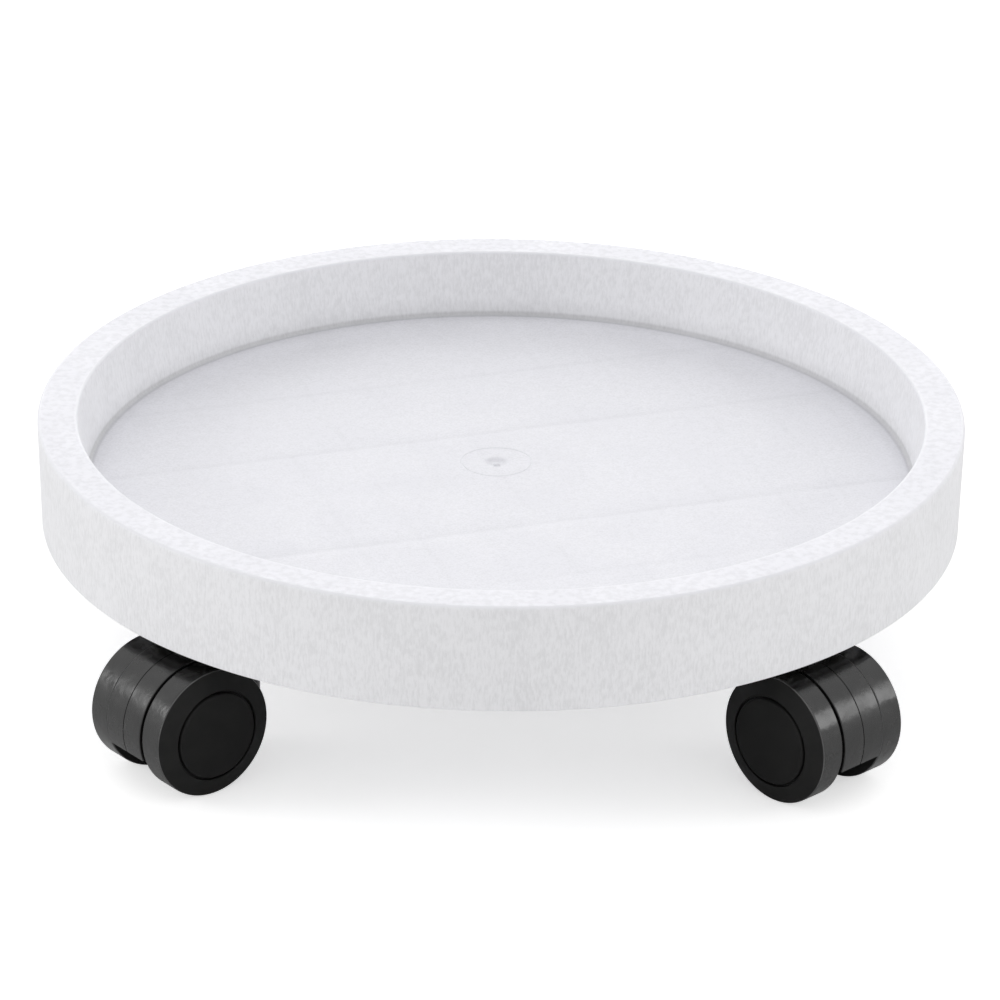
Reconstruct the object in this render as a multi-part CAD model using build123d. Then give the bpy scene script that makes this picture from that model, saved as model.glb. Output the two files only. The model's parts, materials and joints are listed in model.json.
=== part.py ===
from build123d import *
import math
import os

# Tray, in millimetres. Z = 0 is the floor that the wheels stand on.
RIM_RADIUS = 177.5
RIM_WIDTH = 15.4
TRAY_HEIGHT = 42.3
WALL_DRAFT = 1.3
WELL_DEPTH = 26.1
WELL_TAPER = 3.5
TRAY_WALL = 3.0
RIM_OUTER_ROUND = 1.5
RIM_INNER_ROUND = 1.0
WELL_CORNER_ROUND = 1.2

# Ribs under the floor: long ribs run RIB_ANGLE from X, short ribs cross them
RIB_ANGLE = 18.5
RIB_THICKNESS = 2.2
RIB_CLEARANCE = 1.0
LONG_RIB_OFFSETS = (-94.5, -47.5, 0.0, 39.5, 94.5)
CROSS_RIB_PITCH = 24.0
CROSS_RIB_COUNT = 13
CHANNEL_GUSSET_COUNT = 24

# Mark left by the moulding gate on the floor of the well
GATE_CENTRE = (-1.6, 11.2)
GATE_RADIUS = 5.0
GATE_DEPTH = 1.2
GATE_NUB_RADIUS = 1.5
GATE_NUB_HEIGHT = 0.8
GATE_RING_RADIUS = 13.5
GATE_RING_WIDTH = 0.6
GATE_RING_DEPTH = 0.15

# Caster placing: each name has the azimuth of its pad and of the way it trails
SWIVEL_CIRCLE_RADIUS = 150.5
CASTERS = {
    "front_left": (-135.0, -141.6),
    "front_right": (-45.0, -44.7),
    "rear_right": (45.0, 48.0),
    "rear_left": (135.0, 131.0),
}

# Wheels, with distances along the axle taken from the caster's middle plane
WHEEL_RADIUS = 25.0
TRAIL = 15.5
WHEEL_TO_TRAY = 6.2
WHEEL_INNER_FACE = 10.95
WHEEL_OUTER_FACE = 21.2
WHEEL_CROWN_FACE = 24.0
WHEEL_EDGE = 0.5
RIM_SECTION = 3.2
HUB_RADIUS = 7.0
HUB_INNER_END = 10.4
HUB_OUTER_END = 19.5
WEB_SECTION = 2.0
WHEEL_SPOKES = 6
SPOKE_THICKNESS = 1.6
CAP_SEAT = 22.4
CAP_RADIUS = 16.8
CAP_GROOVE = 0.9
CAP_SKIRT_RADIUS = 15.2
CAP_SKIRT_END = 20.2
CAP_SKIRT_WALL = 1.5
CAP_PANEL = 2.1
CAP_CROWN = 0.5
CAP_EDGE_ROUND = 0.7

# Axle and the clips that keep the wheels on it
AXLE_RADIUS = 3.0
AXLE_HALF_LENGTH = 21.5
AXLE_GROOVE_DEPTH = 0.5
AXLE_GROOVE_START = 19.7
CLIP_THICKNESS = 0.6
CLIP_RADIUS = 6.0
CLIP_MOUTH_SHARE = 0.8
RUNNING_CLEARANCE = 0.05
PRESS_CLEARANCE = 0.02

# Hood: a fender over the wheels on a middle web, and a round turret about the swivel axis
HOOD_HALF_WIDTH = 10.3
FENDER_RADIUS = 25.6
FENDER_WALL = 2.0
FENDER_START = -20.5
FENDER_END = 112.0
PARTING_GROOVE = 0.35
TURRET_RADIUS = 17.6
TURRET_WALL = 2.2
TURRET_ROOF = 2.8
TURRET_TOP_ROUND = 1.2
TURRET_BOTTOM = 26.5
HOOD_WEB = 3.0
WELL_CLEARANCE = 0.9
PIN_BOSS_RADIUS = 7.0
PIN_BOSS_BOTTOM = 33.0
AXLE_BOSS_RADIUS = 6.0
AXLE_BOSS_HALF_LENGTH = 10.1

# Swivel pin, its clip, the washer under the plate, the plate and its screws
PIN_RADIUS = 4.0
PIN_BOTTOM = 30.4
PIN_HEAD_RADIUS = 6.0
PIN_HEAD_HEIGHT = 1.4
PIN_GROOVE_DEPTH = 0.6
PIN_CLIP_TOP_GAP = 0.3
PIN_CLIP_THICKNESS = 0.8
PIN_CLIP_RADIUS = 6.2
WASHER_RADIUS = 12.0
WASHER_THICKNESS = 0.9
WASHER_TO_PLATE = 0.1
PLATE_SIDE = 38.0
PLATE_THICKNESS = 2.0
PLATE_CORNER = 5.0
SCREW_SPACING = 30.0
SCREW_HOLE_RADIUS = 2.2
SCREW_RADIUS = 1.9
SCREW_LENGTH = 11.0
SCREW_HEAD_RADIUS = 3.2
SCREW_HEAD_HEIGHT = 1.8
SCREW_HEAD_BEVEL = 0.7
SCREW_RECESS_WIDTH = 0.9
SCREW_RECESS_LENGTH = 3.4
SCREW_RECESS_DEPTH = 1.0
SCREW_BOSS_RADIUS = 4.2
PILOT_CLEARANCE = 0.05
PAD_WALL = 2.5
PIN_POCKET_RADIUS = 8.0

# Levels and radii that follow from the sizes above
AXLE_HEIGHT = WHEEL_RADIUS
TRAY_BOTTOM = 2 * WHEEL_RADIUS + WHEEL_TO_TRAY
RIM_TOP = TRAY_BOTTOM + TRAY_HEIGHT
FLOOR_TOP = RIM_TOP - WELL_DEPTH
FLOOR_UNDERSIDE = FLOOR_TOP - TRAY_WALL
WELL_MOUTH_RADIUS = RIM_RADIUS - RIM_WIDTH
WELL_FLOOR_RADIUS = WELL_MOUTH_RADIUS - WELL_TAPER
SKIRT_FOOT_RADIUS = RIM_RADIUS - WALL_DRAFT
PLATE_BOTTOM = TRAY_BOTTOM - PLATE_THICKNESS
TURRET_TOP = PLATE_BOTTOM - WASHER_TO_PLATE - WASHER_THICKNESS
OVERLAP = 1.0


def turned(points, rounds=()):
    """Solid of revolution about Z from (radius, height) points, with rounded corners."""
    profile = make_face(Polyline(*points, close=True))
    for corner, radius in rounds:
        vertex = profile.vertices().sort_by_distance(Vector(corner[0], corner[1], 0))[0]
        profile = fillet(vertex, radius)
    return revolve(Plane.XZ * profile, Axis.Z)


def upright(radius, low, high):
    """Cylinder about Z between two heights."""
    return Pos(0, 0, low) * Cylinder(radius, high - low, align=(Align.CENTER, Align.CENTER, Align.MIN))


def ring(inner, outer, low, high):
    """Plain ring about Z between two heights."""
    return upright(outer, low, high) - upright(inner, low - OVERLAP, high + OVERLAP)


def along_axle(shape, side):
    """Turn a shape made about Z so that +Z points out along the axle on one side."""
    return Pos(TRAIL, 0, AXLE_HEIGHT) * Rot(-90 * side, 0, 0) * shape


def tray_shell():
    """Floor, inner wall, rim and outer skirt, open below between wall and skirt."""
    skirt_inner_foot = SKIRT_FOOT_RADIUS - TRAY_WALL
    skirt_inner_top = RIM_RADIUS - TRAY_WALL
    channel_top = RIM_TOP - TRAY_WALL
    rim_top_outer = (RIM_RADIUS, RIM_TOP)
    rim_top_inner = (WELL_MOUTH_RADIUS, RIM_TOP)
    well_corner = (WELL_FLOOR_RADIUS, FLOOR_TOP)
    points = (
        (0, FLOOR_TOP), well_corner, rim_top_inner, rim_top_outer,
        (SKIRT_FOOT_RADIUS, TRAY_BOTTOM), (skirt_inner_foot, TRAY_BOTTOM),
        (skirt_inner_top, channel_top), (WELL_MOUTH_RADIUS + TRAY_WALL, channel_top),
        (WELL_FLOOR_RADIUS + TRAY_WALL, FLOOR_UNDERSIDE), (0, FLOOR_UNDERSIDE),
    )
    rounds = (
        (rim_top_outer, RIM_OUTER_ROUND),
        (rim_top_inner, RIM_INNER_ROUND),
        (well_corner, WELL_CORNER_ROUND),
    )
    return turned(points, rounds)


def floor_ribs():
    """Grid of straight ribs under the floor, trimmed to the inside of the skirt."""
    low = TRAY_BOTTOM + RIB_CLEARANCE
    height = FLOOR_UNDERSIDE - low + OVERLAP
    length = 2 * RIM_RADIUS
    align = (Align.CENTER, Align.CENTER, Align.MIN)
    ribs = [Pos(0, offset, low) * Box(length, RIB_THICKNESS, height, align=align)
            for offset in LONG_RIB_OFFSETS]
    middle = (CROSS_RIB_COUNT - 1) / 2
    ribs += [Pos((i - middle) * CROSS_RIB_PITCH, 0, low) * Box(RIB_THICKNESS, length, height, align=align)
             for i in range(CROSS_RIB_COUNT)]
    grid = Rot(0, 0, RIB_ANGLE) * Compound(ribs[0].fuse(*ribs[1:]).solids())
    return grid & upright(SKIRT_FOOT_RADIUS - TRAY_WALL / 2, low - OVERLAP, FLOOR_UNDERSIDE + OVERLAP)


def channel_gussets():
    """Radial webs that tie the skirt to the inner wall inside the rim."""
    bite = TRAY_WALL / 2
    low = TRAY_BOTTOM + RIB_CLEARANCE
    high = RIM_TOP - bite
    outline = Polyline(
        (WELL_FLOOR_RADIUS + bite, low), (WELL_FLOOR_RADIUS + bite, FLOOR_UNDERSIDE),
        (WELL_MOUTH_RADIUS + bite, high), (RIM_RADIUS - bite, high), (SKIRT_FOOT_RADIUS - bite, low),
        close=True)
    web = extrude(Plane.XZ * make_face(outline), RIB_THICKNESS / 2, both=True)
    step = 360 / CHANNEL_GUSSET_COUNT
    return [Rot(0, 0, (i + 0.5) * step) * web for i in range(CHANNEL_GUSSET_COUNT)]


def screw_places():
    """The four screw positions about a swivel axis."""
    half = SCREW_SPACING / 2
    return [(x, y) for x in (-half, half) for y in (-half, half)]


def caster_pad():
    """Walled pad with crossed ribs, four screw bosses and a ring about the pin head."""
    height = FLOOR_UNDERSIDE - TRAY_BOTTOM + OVERLAP
    align = (Align.CENTER, Align.CENTER, Align.MIN)
    inside = PLATE_SIDE - 2 * PAD_WALL
    frame = Box(PLATE_SIDE, PLATE_SIDE, height, align=align)
    frame -= Pos(0, 0, -OVERLAP) * Box(inside, inside, height + 2 * OVERLAP, align=align)
    diagonal = inside * math.sqrt(2)
    web = Box(diagonal, PAD_WALL, height, align=align)
    pad = frame.fuse(Rot(0, 0, 45) * web, Rot(0, 0, -45) * web)
    pad = pad.fuse(upright(PIN_POCKET_RADIUS + PAD_WALL, 0, height))
    for x, y in screw_places():
        pad += Pos(x, y, 0) * upright(SCREW_BOSS_RADIUS, 0, height)
    return Pos(0, 0, TRAY_BOTTOM) * pad


def pad_bores():
    """Pilot holes for the screws and the pocket for the swivel pin's head."""
    depth = SCREW_LENGTH - PLATE_THICKNESS + OVERLAP
    pilot = upright(SCREW_RADIUS + PILOT_CLEARANCE, TRAY_BOTTOM - OVERLAP, TRAY_BOTTOM + depth)
    bores = [Pos(x, y, 0) * pilot for x, y in screw_places()]
    bores.append(upright(PIN_POCKET_RADIUS, TRAY_BOTTOM - OVERLAP, FLOOR_UNDERSIDE))
    return bores


def gate_mark():
    """Dished moulding mark in a shallow ring, with a small nub left standing in it."""
    x, y = GATE_CENTRE
    sphere_radius = (GATE_RADIUS ** 2 + GATE_DEPTH ** 2) / (2 * GATE_DEPTH)
    dish = Pos(x, y, FLOOR_TOP + sphere_radius - GATE_DEPTH) * Sphere(sphere_radius)
    nub = Pos(x, y, FLOOR_TOP - GATE_DEPTH - OVERLAP) * Cone(
        GATE_NUB_RADIUS, GATE_NUB_RADIUS / 2, GATE_NUB_HEIGHT + OVERLAP,
        align=(Align.CENTER, Align.CENTER, Align.MIN))
    groove_inner = GATE_RING_RADIUS - GATE_RING_WIDTH
    groove_bottom = FLOOR_TOP - GATE_RING_DEPTH
    groove = Pos(x, y, 0) * ring(groove_inner, GATE_RING_RADIUS, groove_bottom, FLOOR_TOP + OVERLAP)
    return dish, groove, nub


def tray():
    """The one-piece moulded tray."""
    body = tray_shell()
    inside_skirt = upright(SKIRT_FOOT_RADIUS - TRAY_WALL / 2, TRAY_BOTTOM - OVERLAP, RIM_TOP - TRAY_WALL / 2)
    pads = [Rot(0, 0, azimuth) * Pos(SWIVEL_CIRCLE_RADIUS, 0, 0) * caster_pad() & inside_skirt
            for azimuth, _ in CASTERS.values()]
    body = body.fuse(floor_ribs(), *channel_gussets(), *pads)
    for azimuth, _ in CASTERS.values():
        place = Rot(0, 0, azimuth) * Pos(SWIVEL_CIRCLE_RADIUS, 0, 0)
        body = body.cut(*[place * bore for bore in pad_bores()])
    dish, groove, nub = gate_mark()
    return body.cut(dish, groove) + nub


def wheel():
    """One moulded wheel about Z: tread, coned face, cap seat, hub and inner spokes."""
    bore = AXLE_RADIUS + RUNNING_CLEARANCE
    groove_outer = CAP_RADIUS + CAP_GROOVE
    pocket = CAP_SKIRT_RADIUS + RUNNING_CLEARANCE
    rim_inner = WHEEL_RADIUS - RIM_SECTION
    web_inner = HUB_OUTER_END - WEB_SECTION
    cone_inner = WHEEL_OUTER_FACE - WEB_SECTION
    points = (
        (bore, HUB_INNER_END), (HUB_RADIUS, HUB_INNER_END), (HUB_RADIUS, web_inner),
        (pocket + WEB_SECTION, web_inner), (rim_inner, cone_inner), (rim_inner, WHEEL_INNER_FACE),
        (WHEEL_RADIUS - WHEEL_EDGE, WHEEL_INNER_FACE), (WHEEL_RADIUS, WHEEL_INNER_FACE + WHEEL_EDGE),
        (WHEEL_RADIUS, WHEEL_OUTER_FACE - WHEEL_EDGE), (WHEEL_RADIUS - WHEEL_EDGE, WHEEL_OUTER_FACE),
        (groove_outer, WHEEL_CROWN_FACE), (groove_outer, CAP_SEAT), (pocket, CAP_SEAT),
        (pocket, HUB_OUTER_END), (bore, HUB_OUTER_END),
    )
    body = turned(points)
    spoke_low = WHEEL_INNER_FACE + SPOKE_THICKNESS
    spoke_inner = (bore + HUB_RADIUS) / 2
    spoke_outer = rim_inner + RIM_SECTION / 2
    spoke = Pos(spoke_inner, 0, spoke_low) * Box(
        spoke_outer - spoke_inner, SPOKE_THICKNESS, web_inner + WEB_SECTION / 2 - spoke_low,
        align=(Align.MIN, Align.CENTER, Align.MIN))
    step = 360 / WHEEL_SPOKES
    return body.fuse(*[Rot(0, 0, i * step) * spoke for i in range(WHEEL_SPOKES)])


def wheel_cap():
    """Crowned cap about Z, seated in the wheel's face by a snap skirt."""
    front = WHEEL_CROWN_FACE + CAP_EDGE_ROUND / 2
    top = front + CAP_CROWN
    back = top - CAP_PANEL
    skirt_inner = CAP_SKIRT_RADIUS - CAP_SKIRT_WALL
    crown_radius = (CAP_RADIUS ** 2 + CAP_CROWN ** 2) / (2 * CAP_CROWN)
    half_angle = math.degrees(math.asin(CAP_RADIUS / crown_radius))
    crown = CenterArc((0, top - crown_radius), crown_radius, 90 - half_angle, half_angle)
    outline = crown + Polyline(
        crown @ 1, (0, back), (skirt_inner, back), (skirt_inner, CAP_SKIRT_END),
        (CAP_SKIRT_RADIUS, CAP_SKIRT_END), (CAP_SKIRT_RADIUS, CAP_SEAT), (CAP_RADIUS, CAP_SEAT), crown @ 0)
    profile = make_face(outline)
    rim = profile.vertices().sort_by_distance(crown @ 0)[0]
    return revolve(Plane.XZ * fillet(rim, CAP_EDGE_ROUND), Axis.Z)


def axle():
    """Axle about Z, grooved near each end for its clips."""
    neck = AXLE_RADIUS - AXLE_GROOVE_DEPTH
    groove_end = AXLE_GROOVE_START + CLIP_THICKNESS
    points = (
        (0, -AXLE_HALF_LENGTH), (AXLE_RADIUS, -AXLE_HALF_LENGTH), (AXLE_RADIUS, -groove_end),
        (neck, -groove_end), (neck, -AXLE_GROOVE_START), (AXLE_RADIUS, -AXLE_GROOVE_START),
        (AXLE_RADIUS, AXLE_GROOVE_START), (neck, AXLE_GROOVE_START), (neck, groove_end),
        (AXLE_RADIUS, groove_end), (AXLE_RADIUS, AXLE_HALF_LENGTH), (0, AXLE_HALF_LENGTH),
    )
    return turned(points)


def split_clip(inner, outer, low, thickness):
    """Open retaining clip about Z, with a mouth on one side."""
    width = 2 * inner * CLIP_MOUTH_SHARE
    height = thickness + 2 * OVERLAP
    align = (Align.MIN, Align.CENTER, Align.MIN)
    mouth = Pos(0, 0, low - OVERLAP) * Box(outer + OVERLAP, width, height, align=align)
    return ring(inner, outer, low, low + thickness) - mouth


def axle_clips():
    """The two clips in the axle's grooves."""
    inner = AXLE_RADIUS - AXLE_GROOVE_DEPTH
    clip = split_clip(inner, CLIP_RADIUS, AXLE_GROOVE_START, CLIP_THICKNESS)
    return [along_axle(clip, side) for side in (1, -1)]


def fender():
    """Arched shell over the wheels, from its low outer edge to inside the turret."""
    outer = Cylinder(FENDER_RADIUS, 2 * HOOD_HALF_WIDTH, rotation=(90, 0, 0))
    inner = Cylinder(FENDER_RADIUS - FENDER_WALL, 2 * HOOD_HALF_WIDTH + OVERLAP, rotation=(90, 0, 0))
    groove = Cylinder(FENDER_RADIUS + OVERLAP, PARTING_GROOVE, rotation=(90, 0, 0))
    groove -= Cylinder(FENDER_RADIUS - PARTING_GROOVE, PARTING_GROOVE, rotation=(90, 0, 0))
    reach = 2 * FENDER_RADIUS + HOOD_HALF_WIDTH
    start = math.radians(FENDER_START)
    end = math.radians(FENDER_END)
    middle = (start + end) / 2
    corners = [(reach * math.cos(a), reach * math.sin(a)) for a in (start, middle, end)]
    wedge = make_face(Polyline((0, 0), *corners, close=True))
    sector = extrude(Plane.XZ * wedge, 2 * HOOD_HALF_WIDTH, both=True)
    return Pos(TRAIL, 0, AXLE_HEIGHT) * ((outer - inner - groove) & sector)


def turret():
    """Round hollow turret about the swivel axis, with a roof and a boss for the pin."""
    roof = TURRET_TOP - TURRET_ROOF
    rim = (TURRET_RADIUS, TURRET_TOP)
    inner = TURRET_RADIUS - TURRET_WALL
    points = (
        (0, TURRET_TOP), rim, (TURRET_RADIUS, TURRET_BOTTOM), (inner, TURRET_BOTTOM), (inner, roof),
        (PIN_BOSS_RADIUS, roof), (PIN_BOSS_RADIUS, PIN_BOSS_BOTTOM), (0, PIN_BOSS_BOTTOM),
    )
    return turned(points, ((rim, TURRET_TOP_ROUND),))


def hood_web():
    """Middle web that joins fender, turret, pin boss and axle boss."""
    start = math.radians(FENDER_START)
    radius = FENDER_RADIUS - FENDER_WALL / 2
    tip = (TRAIL + radius * math.cos(start), AXLE_HEIGHT + radius * math.sin(start))
    crest = (TRAIL, AXLE_HEIGHT + radius)
    shoulder_angle = (start + math.pi / 2) / 2
    shoulder = (TRAIL + radius * math.cos(shoulder_angle), AXLE_HEIGHT + radius * math.sin(shoulder_angle))
    back = -(TURRET_RADIUS - TURRET_WALL / 2)
    roof = TURRET_TOP - TURRET_ROOF / 2
    outline = ThreePointArc(tip, shoulder, crest) + Polyline(
        crest, (TRAIL, roof - OVERLAP), (back, roof - OVERLAP), (back, TURRET_BOTTOM), tip)
    return extrude(Plane.XZ * make_face(outline), HOOD_WEB / 2, both=True)


def hood():
    """The moulded hood between the wheels."""
    body = fender().fuse(turret(), hood_web())
    well_radius = WHEEL_RADIUS + WELL_CLEARANCE
    well = upright(well_radius, HOOD_HALF_WIDTH, HOOD_HALF_WIDTH + TURRET_RADIUS)
    clip_room = upright(PIN_CLIP_RADIUS + OVERLAP, TURRET_BOTTOM - OVERLAP, PIN_BOSS_BOTTOM)
    body = body.cut(along_axle(well, 1), along_axle(well, -1), clip_room)
    body += along_axle(upright(AXLE_BOSS_RADIUS, -AXLE_BOSS_HALF_LENGTH, AXLE_BOSS_HALF_LENGTH), 1)
    axle_bore = upright(AXLE_RADIUS + PRESS_CLEARANCE, -AXLE_HALF_LENGTH, AXLE_HALF_LENGTH)
    pin_bore = upright(PIN_RADIUS + RUNNING_CLEARANCE, 0, TURRET_TOP + OVERLAP)
    return body.cut(along_axle(axle_bore, 1), pin_bore)


def swivel_pin():
    """Pin riveted through the plate, grooved near its lower end."""
    neck = PIN_RADIUS - PIN_GROOVE_DEPTH
    groove_top = PIN_BOSS_BOTTOM - PIN_CLIP_TOP_GAP
    groove_bottom = groove_top - PIN_CLIP_THICKNESS
    head_top = TRAY_BOTTOM + PIN_HEAD_HEIGHT
    points = (
        (0, PIN_BOTTOM), (PIN_RADIUS, PIN_BOTTOM), (PIN_RADIUS, groove_bottom), (neck, groove_bottom),
        (neck, groove_top), (PIN_RADIUS, groove_top), (PIN_RADIUS, TRAY_BOTTOM),
        (PIN_HEAD_RADIUS, TRAY_BOTTOM), (PIN_HEAD_RADIUS, head_top), (0, head_top),
    )
    return turned(points)


def pin_clip():
    """Clip in the pin's groove that holds the hood up on the pin."""
    low = PIN_BOSS_BOTTOM - PIN_CLIP_TOP_GAP - PIN_CLIP_THICKNESS
    return split_clip(PIN_RADIUS - PIN_GROOVE_DEPTH, PIN_CLIP_RADIUS, low, PIN_CLIP_THICKNESS)


def thrust_washer():
    """Plain washer on top of the turret that takes the load from the plate."""
    return ring(PIN_RADIUS + RUNNING_CLEARANCE, WASHER_RADIUS, TURRET_TOP, TURRET_TOP + WASHER_THICKNESS)


def top_plate():
    """Square mounting plate with four screw holes and the pin hole."""
    outline = RectangleRounded(PLATE_SIDE, PLATE_SIDE, PLATE_CORNER)
    outline -= [Pos(x, y) * Circle(SCREW_HOLE_RADIUS) for x, y in screw_places()]
    outline -= Circle(PIN_RADIUS + PRESS_CLEARANCE)
    return Pos(0, 0, PLATE_BOTTOM) * extrude(outline, PLATE_THICKNESS)


def plate_screws():
    """Four screws driven up through the plate, heads below."""
    head_bottom = PLATE_BOTTOM - SCREW_HEAD_HEIGHT
    points = (
        (0, head_bottom), (SCREW_HEAD_RADIUS - SCREW_HEAD_BEVEL, head_bottom),
        (SCREW_HEAD_RADIUS, head_bottom + SCREW_HEAD_BEVEL),
        (SCREW_HEAD_RADIUS, PLATE_BOTTOM), (SCREW_RADIUS, PLATE_BOTTOM),
        (SCREW_RADIUS, PLATE_BOTTOM + SCREW_LENGTH - SCREW_RADIUS), (0, PLATE_BOTTOM + SCREW_LENGTH),
    )
    screw = turned(points)
    slot = Pos(0, 0, head_bottom - OVERLAP) * Box(
        SCREW_RECESS_LENGTH, SCREW_RECESS_WIDTH, SCREW_RECESS_DEPTH + OVERLAP,
        align=(Align.CENTER, Align.CENTER, Align.MIN))
    screw = screw.cut(slot, Rot(0, 0, 90) * slot)
    return [Pos(x, y, 0) * screw for x, y in screw_places()]


def fixed_pieces():
    """Pieces of one caster that stay with the tray, about the swivel axis."""
    return {
        "top_plate": [top_plate()],
        "plate_screws": plate_screws(),
        "swivel_pin": [swivel_pin()],
        "pin_clip": [pin_clip()],
    }


def swivelling_pieces():
    """Pieces of one caster that swivel, trailing towards +X."""
    return {
        "thrust_washer": [thrust_washer()],
        "hood": [hood()],
        "axle": [along_axle(axle(), 1)],
        "axle_clips": axle_clips(),
        "left_wheel": [along_axle(wheel(), 1)],
        "right_wheel": [along_axle(wheel(), -1)],
        "left_cap": [along_axle(wheel_cap(), 1)],
        "right_cap": [along_axle(wheel_cap(), -1)],
    }


def write(node, shapes):
    """Write one node's solids to its own file."""
    solids = [solid for shape in shapes for solid in shape.solids()]
    shape = solids[0] if len(solids) == 1 else Compound(solids)
    export_step(shape, f"parts/{node}.step")


def main():
    os.makedirs("parts", exist_ok=True)
    write("tray", [tray()])
    fixed = fixed_pieces()
    swivelling = swivelling_pieces()
    for caster, (pad_azimuth, trail_azimuth) in CASTERS.items():
        swivel_centre = Rot(0, 0, pad_azimuth) * Pos(SWIVEL_CIRCLE_RADIUS, 0, 0)
        trailing = swivel_centre * Rot(0, 0, trail_azimuth - pad_azimuth)
        for piece, shapes in fixed.items():
            write(f"{caster}_{piece}", [swivel_centre * shape for shape in shapes])
        for piece, shapes in swivelling.items():
            write(f"{caster}_{piece}", [trailing * shape for shape in shapes])


if __name__ == "__main__":
    main()
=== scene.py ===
"""Plant caddy: a white moulded tray that rolls on four black twin-wheel casters.

Pieces are modelled in millimetres, about the tray's middle or a caster's swivel axis, with Z = 0 on the
floor. Each finished piece is then put in its place in the frame, in metres.
"""
import json
import logging
import math
from contextlib import contextmanager
from dataclasses import dataclass, field
from enum import Enum
from functools import reduce
from typing import Callable, Iterator, Sequence

import bmesh
import bpy
import numpy as np
from mathutils import Matrix, Vector

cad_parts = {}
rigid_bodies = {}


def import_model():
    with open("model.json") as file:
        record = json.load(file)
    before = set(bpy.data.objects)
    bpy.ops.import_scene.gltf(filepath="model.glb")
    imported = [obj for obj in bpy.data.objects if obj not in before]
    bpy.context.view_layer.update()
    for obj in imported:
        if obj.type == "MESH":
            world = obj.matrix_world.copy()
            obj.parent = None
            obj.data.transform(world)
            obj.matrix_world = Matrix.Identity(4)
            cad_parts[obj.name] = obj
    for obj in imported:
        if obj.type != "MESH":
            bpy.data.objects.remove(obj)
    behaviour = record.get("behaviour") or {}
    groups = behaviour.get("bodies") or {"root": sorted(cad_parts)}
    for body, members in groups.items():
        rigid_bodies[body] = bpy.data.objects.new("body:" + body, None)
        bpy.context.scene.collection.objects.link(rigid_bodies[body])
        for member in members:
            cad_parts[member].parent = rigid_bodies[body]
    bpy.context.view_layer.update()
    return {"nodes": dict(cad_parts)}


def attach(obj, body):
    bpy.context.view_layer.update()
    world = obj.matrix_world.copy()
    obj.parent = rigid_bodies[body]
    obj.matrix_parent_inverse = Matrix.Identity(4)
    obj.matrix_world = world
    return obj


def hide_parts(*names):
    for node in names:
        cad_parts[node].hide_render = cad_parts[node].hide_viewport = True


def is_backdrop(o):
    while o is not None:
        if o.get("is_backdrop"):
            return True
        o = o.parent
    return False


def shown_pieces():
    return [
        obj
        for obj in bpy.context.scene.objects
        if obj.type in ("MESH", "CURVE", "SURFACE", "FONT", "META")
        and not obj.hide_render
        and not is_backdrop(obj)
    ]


LOG = logging.getLogger("plant_caddy")
METRE = 0.001
TINY = 0.002
ROUND_STEPS = 4
SHARP_ANGLE = 32.0
WHITE = (1.0, 1.0, 1.0, 1.0)
UNMOVED = Matrix.Identity(4)

Piece = bpy.types.Object
Socket = bpy.types.NodeSocket
Source = "Socket | float | tuple[float, ...]"
Colour = "tuple[float, float, float]"
Rows = "tuple[tuple[float, float], ...]"


class Kind(Enum):
    """What is picked in edit mode."""

    VERT = "verts"
    EDGE = "edges"

    def parts(self, mesh: bmesh.types.BMesh) -> Sequence:
        """The mesh's parts of this kind."""
        return getattr(mesh, self.value)

    def place(self, part: "bmesh.types.BMVert | bmesh.types.BMEdge") -> Vector:
        """Middle of one part."""
        return part.co.copy() if self is Kind.VERT else (part.verts[0].co + part.verts[1].co) / 2


class Join(Enum):
    """How two solids are combined."""

    UNION = "UNION"
    CUT = "DIFFERENCE"
    KEEP_COMMON = "INTERSECT"


@dataclass(frozen=True)
class Corner:
    """One corner of an outline in the XZ plane, in millimetres."""

    radius: float
    height: float
    round: float = 0.0

    @property
    def place(self) -> Vector:
        """Where the corner is."""
        return Vector((self.radius, 0, self.height))


def path(*rows: Sequence[float]) -> "list[Corner]":
    """Corners from rows of radius, height and, where it has one, rounding."""
    return [Corner(*row) for row in rows]


def release() -> None:
    """Leave edit mode and drop every selection."""
    if bpy.context.object and bpy.context.object.mode != "OBJECT":
        bpy.ops.object.mode_set(mode="OBJECT")
    bpy.ops.object.select_all(action="DESELECT")


def activate(*pieces: Piece) -> None:
    """Select some pieces alone and make the first one active.

    Args:
        pieces: What is selected.
    """
    release()
    for piece in pieces:
        piece.select_set(True)
    bpy.context.view_layer.objects.active = pieces[0]


@contextmanager
def editing(piece: Piece) -> Iterator[None]:
    """Hold one piece open in edit mode, with all of it selected at first.

    Args:
        piece: The piece that is opened.
    """
    activate(piece)
    bpy.ops.object.mode_set(mode="EDIT")
    bpy.ops.mesh.select_mode(type="VERT")
    bpy.ops.mesh.select_all(action="SELECT")
    yield
    bpy.ops.object.mode_set(mode="OBJECT")


def choose(kind: Kind, test: Callable[[Vector], bool]) -> None:
    """Select the parts of the open piece whose middles pass a test.

    Args:
        kind: What to pick.
        test: Says of a part's middle whether the part is wanted.
    """
    bpy.ops.mesh.select_mode(type=kind.name)
    bpy.ops.mesh.select_all(action="DESELECT")
    data = bpy.context.object.data
    mesh = bmesh.from_edit_mesh(data)
    for part in kind.parts(mesh):
        part.select_set(test(kind.place(part)))
    mesh.select_flush_mode()
    bmesh.update_edit_mesh(data)


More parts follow.
